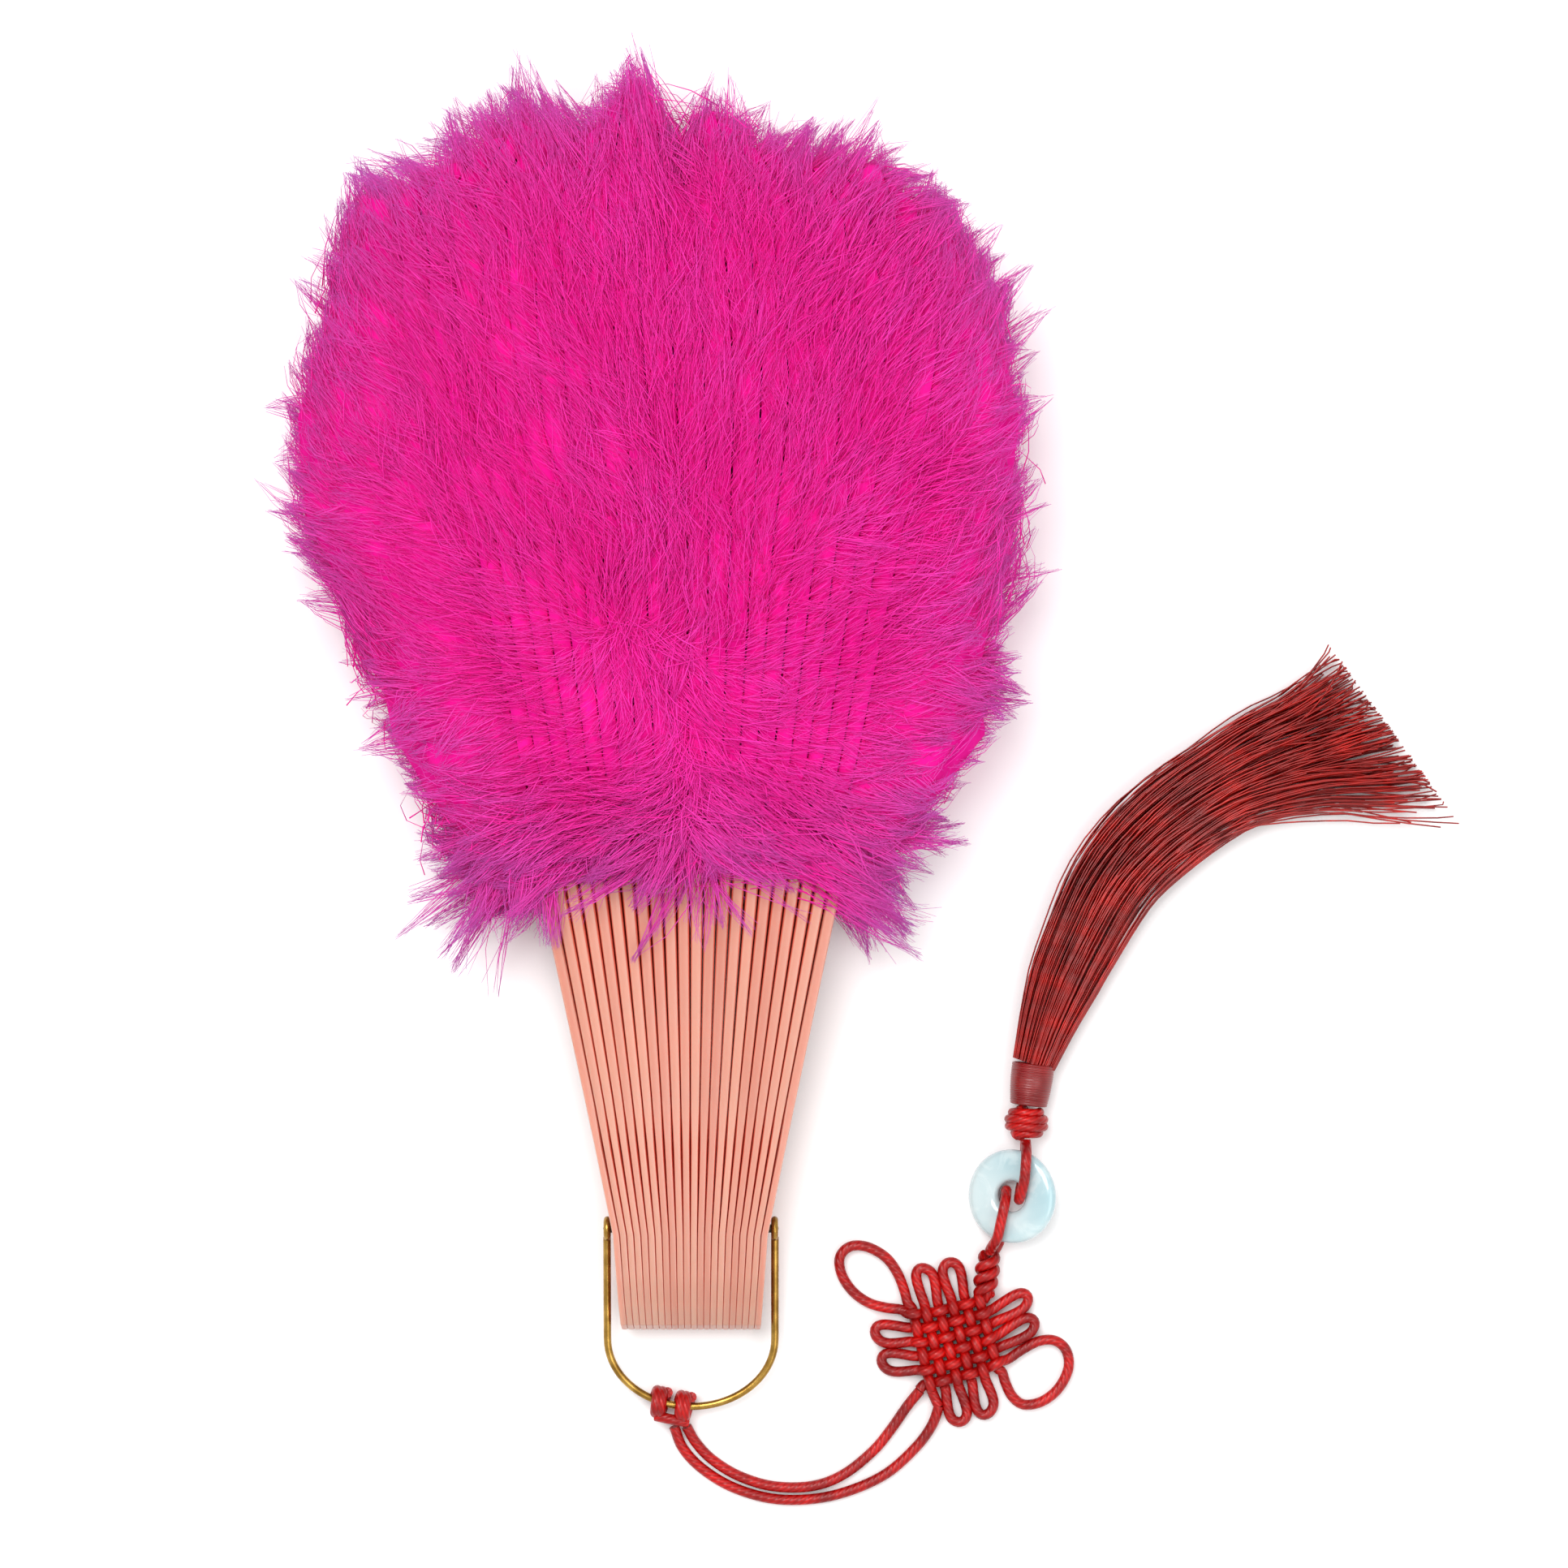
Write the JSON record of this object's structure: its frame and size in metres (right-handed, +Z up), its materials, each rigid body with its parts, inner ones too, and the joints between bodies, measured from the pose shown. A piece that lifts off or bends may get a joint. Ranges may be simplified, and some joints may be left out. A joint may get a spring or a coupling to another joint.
{
  "type": "folding feather fan",
  "caption": "Closed folding feather fan: slats on one rivet carry feather tufts, and a wire bail holds a cord with a knot, a ring and a tassel.",
  "frame": {"origin": "on the table, under the middle of the closed fan and its bail, the cord left out", "axes": "+X along the rivet towards the ring and tassel, +Y from the rivet to the feather tips, +Z up from the table; the closed fan lies on the long edges of its slats"},
  "size_m": [0.248, 0.3043, 0.0627],
  "materials": {
    "stave": "glossy salmon-pink lacquer with a soft glint along each slat's edge",
    "feather": "soft fluffy feather, hot pink at the core with violet-pink tips",
    "rivet": "dark worn metal",
    "brass_wire": "dull polished wire",
    "cord": "satin red braided cord and loose silky strands",
    "sleeve": "dark red wrapped thread",
    "jade": "polished, pale blue-white and slightly translucent"
  },
  "bodies": {
    "root": {"left_guard": "stave", "feathers_01": "feather", "rivet": "rivet"},
    "rib_02": {"rib_02": "stave", "feathers_02": "feather"},
    "rib_03": {"rib_03": "stave", "feathers_03": "feather"},
    "rib_04": {"rib_04": "stave", "feathers_04": "feather"},
    "rib_05": {"rib_05": "stave", "feathers_05": "feather"},
    "rib_06": {"rib_06": "stave", "feathers_06": "feather"},
    "rib_07": {"rib_07": "stave", "feathers_07": "feather"},
    "rib_08": {"rib_08": "stave", "feathers_08": "feather"},
    "rib_09": {"rib_09": "stave", "feathers_09": "feather"},
    "rib_10": {"rib_10": "stave", "feathers_10": "feather"},
    "rib_11": {"rib_11": "stave", "feathers_11": "feather"},
    "rib_12": {"rib_12": "stave", "feathers_12": "feather"},
    "rib_13": {"rib_13": "stave", "feathers_13": "feather"},
    "rib_14": {"rib_14": "stave", "feathers_14": "feather"},
    "rib_15": {"rib_15": "stave", "feathers_15": "feather"},
    "rib_16": {"rib_16": "stave", "feathers_16": "feather"},
    "rib_17": {"rib_17": "stave", "feathers_17": "feather"},
    "rib_18": {"rib_18": "stave", "feathers_18": "feather"},
    "rib_19": {"rib_19": "stave", "feathers_19": "feather"},
    "rib_20": {"rib_20": "stave", "feathers_20": "feather"},
    "rib_21": {"rib_21": "stave", "feathers_21": "feather"},
    "right_guard": {"right_guard": "stave", "feathers_22": "feather"},
    "bail": {"bail": "brass_wire"},
    "pendant": {"cord_hitch": "cord", "cord_strand_one": "cord", "cord_strand_two": "cord", "knot": "cord", "binding_knot": "cord", "ring_loop": "cord"},
    "jade_ring": {"jade_ring": "jade"},
    "tassel": {"tassel_loop": "cord", "neck_bead": "cord", "neck_sleeve": "sleeve", "tassel_skirt": "cord"}
  },
  "joints": [
    {"name": "fan_open", "type": "hinge", "parent": "root", "child": "right_guard", "pos_m": [0.0071, -0.10366, 0.00929], "axis": [1, 0, 0], "range_deg": [0, 161.5]},
    {"name": "rib_02_turn", "type": "hinge", "parent": "root", "child": "rib_02", "pos_m": [0.0071, -0.10366, 0.00929], "axis": [1, 0, 0], "range_deg": [0, 7.69]},
    {"name": "rib_03_turn", "type": "hinge", "parent": "root", "child": "rib_03", "pos_m": [0.0071, -0.10366, 0.00929], "axis": [1, 0, 0], "range_deg": [0, 15.38]},
    {"name": "rib_04_turn", "type": "hinge", "parent": "root", "child": "rib_04", "pos_m": [0.0071, -0.10366, 0.00929], "axis": [1, 0, 0], "range_deg": [0, 23.07]},
    {"name": "rib_05_turn", "type": "hinge", "parent": "root", "child": "rib_05", "pos_m": [0.0071, -0.10366, 0.00929], "axis": [1, 0, 0], "range_deg": [0, 30.76]},
    {"name": "rib_06_turn", "type": "hinge", "parent": "root", "child": "rib_06", "pos_m": [0.0071, -0.10366, 0.00929], "axis": [1, 0, 0], "range_deg": [0, 38.45]},
    {"name": "rib_07_turn", "type": "hinge", "parent": "root", "child": "rib_07", "pos_m": [0.0071, -0.10366, 0.00929], "axis": [1, 0, 0], "range_deg": [0, 46.14]},
    {"name": "rib_08_turn", "type": "hinge", "parent": "root", "child": "rib_08", "pos_m": [0.0071, -0.10366, 0.00929], "axis": [1, 0, 0], "range_deg": [0, 53.83]},
    {"name": "rib_09_turn", "type": "hinge", "parent": "root", "child": "rib_09", "pos_m": [0.0071, -0.10366, 0.00929], "axis": [1, 0, 0], "range_deg": [0, 61.52]},
    {"name": "rib_10_turn", "type": "hinge", "parent": "root", "child": "rib_10", "pos_m": [0.0071, -0.10366, 0.00929], "axis": [1, 0, 0], "range_deg": [0, 69.22]},
    {"name": "rib_11_turn", "type": "hinge", "parent": "root", "child": "rib_11", "pos_m": [0.0071, -0.10366, 0.00929], "axis": [1, 0, 0], "range_deg": [0, 76.91]},
    {"name": "rib_12_turn", "type": "hinge", "parent": "root", "child": "rib_12", "pos_m": [0.0071, -0.10366, 0.00929], "axis": [1, 0, 0], "range_deg": [0, 84.6]},
    {"name": "rib_13_turn", "type": "hinge", "parent": "root", "child": "rib_13", "pos_m": [0.0071, -0.10366, 0.00929], "axis": [1, 0, 0], "range_deg": [0, 92.29]},
    {"name": "rib_14_turn", "type": "hinge", "parent": "root", "child": "rib_14", "pos_m": [0.0071, -0.10366, 0.00929], "axis": [1, 0, 0], "range_deg": [0, 99.98]},
    {"name": "rib_15_turn", "type": "hinge", "parent": "root", "child": "rib_15", "pos_m": [0.0071, -0.10366, 0.00929], "axis": [1, 0, 0], "range_deg": [0, 107.67]},
    {"name": "rib_16_turn", "type": "hinge", "parent": "root", "child": "rib_16", "pos_m": [0.0071, -0.10366, 0.00929], "axis": [1, 0, 0], "range_deg": [0, 115.36]},
    {"name": "rib_17_turn", "type": "hinge", "parent": "root", "child": "rib_17", "pos_m": [0.0071, -0.10366, 0.00929], "axis": [1, 0, 0], "range_deg": [0, 123.05]},
    {"name": "rib_18_turn", "type": "hinge", "parent": "root", "child": "rib_18", "pos_m": [0.0071, -0.10366, 0.00929], "axis": [1, 0, 0], "range_deg": [0, 130.74]},
    {"name": "rib_19_turn", "type": "hinge", "parent": "root", "child": "rib_19", "pos_m": [0.0071, -0.10366, 0.00929], "axis": [1, 0, 0], "range_deg": [0, 138.43]},
    {"name": "rib_20_turn", "type": "hinge", "parent": "root", "child": "rib_20", "pos_m": [0.0071, -0.10366, 0.00929], "axis": [1, 0, 0], "range_deg": [0, 146.12]},
    {"name": "rib_21_turn", "type": "hinge", "parent": "root", "child": "rib_21", "pos_m": [0.0071, -0.10366, 0.00929], "axis": [1, 0, 0], "range_deg": [0, 153.81]},
    {"name": "bail_swing", "type": "hinge", "parent": "rib_11", "child": "bail", "pos_m": [0.0071, -0.10366, 0.00929], "axis": [1, 0, 0], "range_deg": [-75, 30]},
    {"name": "pendant_swing", "type": "hinge", "parent": "bail", "child": "pendant", "pos_m": [0.003, -0.14092, 0.0036], "axis": [0.9806, -0.1958, 0], "range_deg": [0, 30]},
    {"name": "ring_turn", "type": "hinge", "parent": "pendant", "child": "jade_ring", "pos_m": [0.0742, -0.09716, 0.00574], "axis": [-0.4384, 0, 0.8988], "continuous": true},
    {"name": "tassel_swing", "type": "hinge", "parent": "pendant", "child": "tassel", "pos_m": [0.0742, -0.09716, 0.00574], "axis": [-0.4384, 0, 0.8988], "range_deg": [-60, 0]}
  ],
  "couplings": [
    {"joint": "rib_02_turn", "follows": "fan_open", "ratio": 0.047619},
    {"joint": "rib_03_turn", "follows": "fan_open", "ratio": 0.095238},
    {"joint": "rib_04_turn", "follows": "fan_open", "ratio": 0.14286},
    {"joint": "rib_05_turn", "follows": "fan_open", "ratio": 0.19048},
    {"joint": "rib_06_turn", "follows": "fan_open", "ratio": 0.2381},
    {"joint": "rib_07_turn", "follows": "fan_open", "ratio": 0.28571},
    {"joint": "rib_08_turn", "follows": "fan_open", "ratio": 0.33333},
    {"joint": "rib_09_turn", "follows": "fan_open", "ratio": 0.38095},
    {"joint": "rib_10_turn", "follows": "fan_open", "ratio": 0.42857},
    {"joint": "rib_11_turn", "follows": "fan_open", "ratio": 0.47619},
    {"joint": "rib_12_turn", "follows": "fan_open", "ratio": 0.52381},
    {"joint": "rib_13_turn", "follows": "fan_open", "ratio": 0.57143},
    {"joint": "rib_14_turn", "follows": "fan_open", "ratio": 0.61905},
    {"joint": "rib_15_turn", "follows": "fan_open", "ratio": 0.66667},
    {"joint": "rib_16_turn", "follows": "fan_open", "ratio": 0.71429},
    {"joint": "rib_17_turn", "follows": "fan_open", "ratio": 0.76191},
    {"joint": "rib_18_turn", "follows": "fan_open", "ratio": 0.80952},
    {"joint": "rib_19_turn", "follows": "fan_open", "ratio": 0.85714},
    {"joint": "rib_20_turn", "follows": "fan_open", "ratio": 0.90476},
    {"joint": "rib_21_turn", "follows": "fan_open", "ratio": 0.95238}
  ]
}
